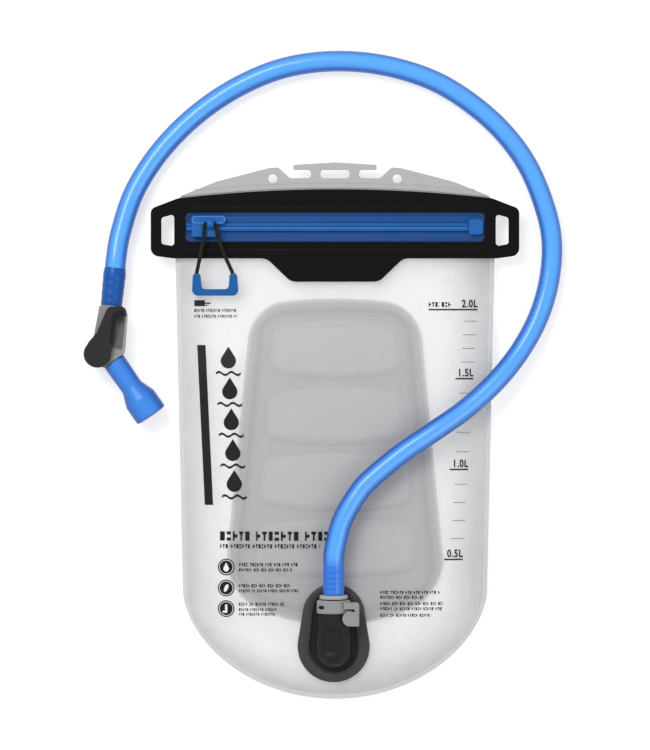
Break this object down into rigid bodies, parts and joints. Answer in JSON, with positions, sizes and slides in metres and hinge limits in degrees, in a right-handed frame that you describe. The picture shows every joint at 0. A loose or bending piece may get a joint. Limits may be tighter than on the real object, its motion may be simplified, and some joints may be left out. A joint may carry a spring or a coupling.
{
  "type": "hydration bladder",
  "caption": "Flat drinking-water bladder with a zip-closed top band, strap and hanger slots, a bottom port with quick link, and a hose ending in a lever shut-off valve and bite mouthpiece.",
  "frame": {"origin": "under the middle of the bag, on the surface its back film rests on, hose and valve left out", "axes": "+X across the bag towards the zip's end dock, +Y from the port towards the hanger, +Z out of the front film"},
  "size_m": [0.2868, 0.3898, 0.0303],
  "materials": {
    "film": "frosted translucent film",
    "panel": "thermoformed satin",
    "hanger": "satin moulded",
    "band": "coated weave",
    "tape": "coated zip tape",
    "zip": "satin moulded",
    "cord": "braided cord",
    "grip": "satin moulded",
    "port": "satin moulded",
    "elbow": "semi-gloss",
    "link": "fine-grained",
    "seal": "smooth",
    "spring": "bright wire",
    "hose": "translucent smooth",
    "valve": "fine-grained",
    "lever": "satin moulded",
    "mouth": "translucent silicone"
  },
  "bodies": {
    "bag": {"back_film": "film", "front_film": "film", "form_panel": "panel", "hanger_plate": "hanger", "zip_band": "band", "zip_tape_upper": "tape", "zip_tape_lower": "tape", "zip_end_dock": "zip", "port_flange": "port", "port_gasket": "seal", "port_backing_ring": "port", "port_elbow": "elbow", "poppet_spring": "spring"},
    "slider": {"zip_slider": "zip"},
    "pull": {"pull_cord": "cord", "pull_grip": "grip"},
    "poppet": {"port_poppet": "link"},
    "hose_set": {"link_collar": "link", "link_ring": "link", "link_barb": "link", "link_o_ring": "seal", "button_spring": "spring", "hose_link_sleeve": "hose", "hose": "hose", "hose_valve_cuff": "hose", "valve_body": "valve", "mouthpiece": "mouth"},
    "button": {"release_button": "link"},
    "lever": {"shutoff_lever": "lever", "valve_spool": "link", "spool_o_ring": "seal"}
  },
  "joints": [
    {"name": "zip_slide", "type": "slide", "parent": "bag", "child": "slider", "axis": [1, 0, 0], "range_m": [0, 0.1452]},
    {"name": "pull_swing", "type": "hinge", "parent": "slider", "child": "pull", "pos_m": [-0.0746, 0.124, 0.0167], "axis": [-1, 0, 0], "range_deg": [0, 150]},
    {"name": "link_release", "type": "slide", "parent": "bag", "child": "hose_set", "axis": [0, 1, 0], "range_m": [0, 0.014]},
    {"name": "poppet_slide", "type": "slide", "parent": "bag", "child": "poppet", "axis": [0, 1, 0], "range_m": [0, 0.0025], "deforming": ["poppet_spring"]},
    {"name": "button_press", "type": "slide", "parent": "hose_set", "child": "button", "axis": [-1, 0, 0], "range_m": [0, 0.0018], "stiffness_N_per_m": 400, "deforming": ["button_spring"]},
    {"name": "lever_turn", "type": "hinge", "parent": "hose_set", "child": "lever", "pos_m": [-0.142, 0.046, 0.0101], "axis": [0, 0, 1], "range_deg": [0, 90]}
  ],
  "couplings": [
    {"joint": "poppet_slide", "follows": "link_release", "ratio": 0.1785}
  ]
}
